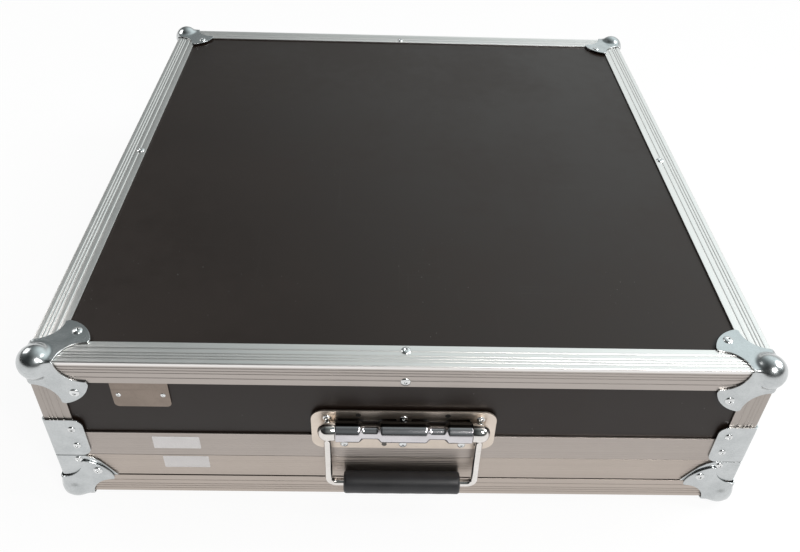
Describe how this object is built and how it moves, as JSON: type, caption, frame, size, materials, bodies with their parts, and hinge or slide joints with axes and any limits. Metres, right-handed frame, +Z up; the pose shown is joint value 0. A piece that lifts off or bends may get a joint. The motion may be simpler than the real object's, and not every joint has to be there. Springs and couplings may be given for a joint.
{
  "type": "mixer flight case",
  "caption": "Flight case with a deep hinged lid over a shallow tray, ribbed aluminium edges, steel ball corners, a spring bail handle and recessed side latches.",
  "frame": {"origin": "middle of the whole case's box, on the plane its ball corners stand on", "axes": "+X to the right seen from the front, +Y from the handle side to the hinges, +Z up"},
  "size_m": [0.574, 0.6168, 0.1696],
  "materials": {
    "phenolic_plywood": "dark satin phenolic film over birch plywood",
    "ribbed_aluminium": "mill-finish extrusion with fine lengthwise ribs",
    "zinc_steel": "bright zinc plate with a faint blue cast",
    "handle_chrome": "bright chrome",
    "grip_rubber": "satin black moulded rubber",
    "lining_foam": "matte dark grey open-cell foam",
    "spring_steel": "oiled spring steel",
    "bare_plate": "bare satin name plate"
  },
  "bodies": {
    "base": {"base_bottom_panel": "phenolic_plywood", "base_wall_frame": "phenolic_plywood", "base_rail": "ribbed_aluminium", "base_foam": "lining_foam", "base_edge_front": "ribbed_aluminium", "base_edge_right": "ribbed_aluminium", "base_edge_back": "ribbed_aluminium", "base_edge_left": "ribbed_aluminium", "base_ball_corner_front_left": "zinc_steel", "base_ball_corner_front_right": "zinc_steel", "base_ball_corner_back_left": "zinc_steel", "base_ball_corner_back_right": "zinc_steel", "base_brace_front_left": "zinc_steel", "base_brace_front_right": "zinc_steel", "base_brace_back_left": "zinc_steel", "base_brace_back_right": "zinc_steel", "hinge_base_leaf_left": "zinc_steel", "hinge_base_leaf_right": "zinc_steel", "latch_strike_left": "zinc_steel", "latch_strike_right": "zinc_steel"},
    "lid": {"lid_top_panel": "phenolic_plywood", "lid_front_panel": "phenolic_plywood", "lid_right_panel": "phenolic_plywood", "lid_back_panel": "phenolic_plywood", "lid_left_panel": "phenolic_plywood", "lid_edge_front": "ribbed_aluminium", "lid_edge_right": "ribbed_aluminium", "lid_edge_back": "ribbed_aluminium", "lid_edge_left": "ribbed_aluminium", "lid_post_front_left": "ribbed_aluminium", "lid_post_front_right": "ribbed_aluminium", "lid_post_back_left": "ribbed_aluminium", "lid_post_back_right": "ribbed_aluminium", "lid_rail": "ribbed_aluminium", "lid_ball_corner_front_left": "zinc_steel", "lid_ball_corner_front_right": "zinc_steel", "lid_ball_corner_back_left": "zinc_steel", "lid_ball_corner_back_right": "zinc_steel", "lid_brace_front_left": "zinc_steel", "lid_brace_front_right": "zinc_steel", "lid_brace_back_left": "zinc_steel", "lid_brace_back_right": "zinc_steel", "name_plate": "bare_plate", "lid_foam": "lining_foam", "handle_plate": "handle_chrome", "handle_spring": "spring_steel", "hinge_lid_leaf_left": "zinc_steel", "hinge_lid_leaf_right": "zinc_steel", "latch_dish_left": "zinc_steel", "latch_dish_right": "zinc_steel"},
    "handle": {"handle_bail": "handle_chrome", "handle_grip": "grip_rubber"},
    "latch_left_hub": {"latch_hub_left": "zinc_steel"},
    "latch_left_hook": {"latch_hook_left": "zinc_steel"},
    "latch_left_wing_front": {"latch_wing_left_front": "zinc_steel"},
    "latch_left_wing_back": {"latch_wing_left_back": "zinc_steel"},
    "latch_right_hub": {"latch_hub_right": "zinc_steel"},
    "latch_right_hook": {"latch_hook_right": "zinc_steel"},
    "latch_right_wing_front": {"latch_wing_right_front": "zinc_steel"},
    "latch_right_wing_back": {"latch_wing_right_back": "zinc_steel"}
  },
  "joints": [
    {"name": "lid_hinge", "type": "hinge", "parent": "base", "child": "lid", "pos_m": [0, 0.3049, 0.0561], "axis": [-1, 0, 0], "range_deg": [0, 100]},
    {"name": "handle_swing", "type": "hinge", "parent": "lid", "child": "handle", "pos_m": [0, -0.29915, 0.0999], "axis": [-1, 0, 0], "range_deg": [0, 90], "stiffness_Nm_per_rad": 0.02},
    {"name": "latch_left_hub_turn", "type": "hinge", "parent": "lid", "child": "latch_left_hub", "pos_m": [-0.2732, -0.1046, 0.0986], "axis": [-1, 0, 0], "range_deg": [0, 180]},
    {"name": "latch_left_hook_draw", "type": "hinge", "parent": "lid", "child": "latch_left_hook", "pos_m": [-0.2761, -0.1046, 0.0726], "axis": [0, -1, 0], "range_deg": [0, 8]},
    {"name": "latch_left_wing_front_fold", "type": "hinge", "parent": "latch_left_hub", "child": "latch_left_wing_front", "pos_m": [-0.2757, -0.1096, 0.0986], "axis": [0, 0, -1], "range_deg": [0, 90]},
    {"name": "latch_left_wing_back_fold", "type": "hinge", "parent": "latch_left_hub", "child": "latch_left_wing_back", "pos_m": [-0.2757, -0.0996, 0.0986], "axis": [0, 0, 1], "range_deg": [0, 90]},
    {"name": "latch_right_hub_turn", "type": "hinge", "parent": "lid", "child": "latch_right_hub", "pos_m": [0.2732, -0.1046, 0.0986], "axis": [1, 0, 0], "range_deg": [0, 180]},
    {"name": "latch_right_hook_draw", "type": "hinge", "parent": "lid", "child": "latch_right_hook", "pos_m": [0.2761, -0.1046, 0.0726], "axis": [0, 1, 0], "range_deg": [0, 8]},
    {"name": "latch_right_wing_front_fold", "type": "hinge", "parent": "latch_right_hub", "child": "latch_right_wing_front", "pos_m": [0.2757, -0.1096, 0.0986], "axis": [0, 0, 1], "range_deg": [0, 90]},
    {"name": "latch_right_wing_back_fold", "type": "hinge", "parent": "latch_right_hub", "child": "latch_right_wing_back", "pos_m": [0.2757, -0.0996, 0.0986], "axis": [0, 0, -1], "range_deg": [0, 90]}
  ],
  "couplings": [
    {"joint": "latch_left_hook_draw", "follows": "latch_left_hub_turn", "ratio": 0.0444},
    {"joint": "latch_right_hook_draw", "follows": "latch_right_hub_turn", "ratio": 0.0444}
  ]
}
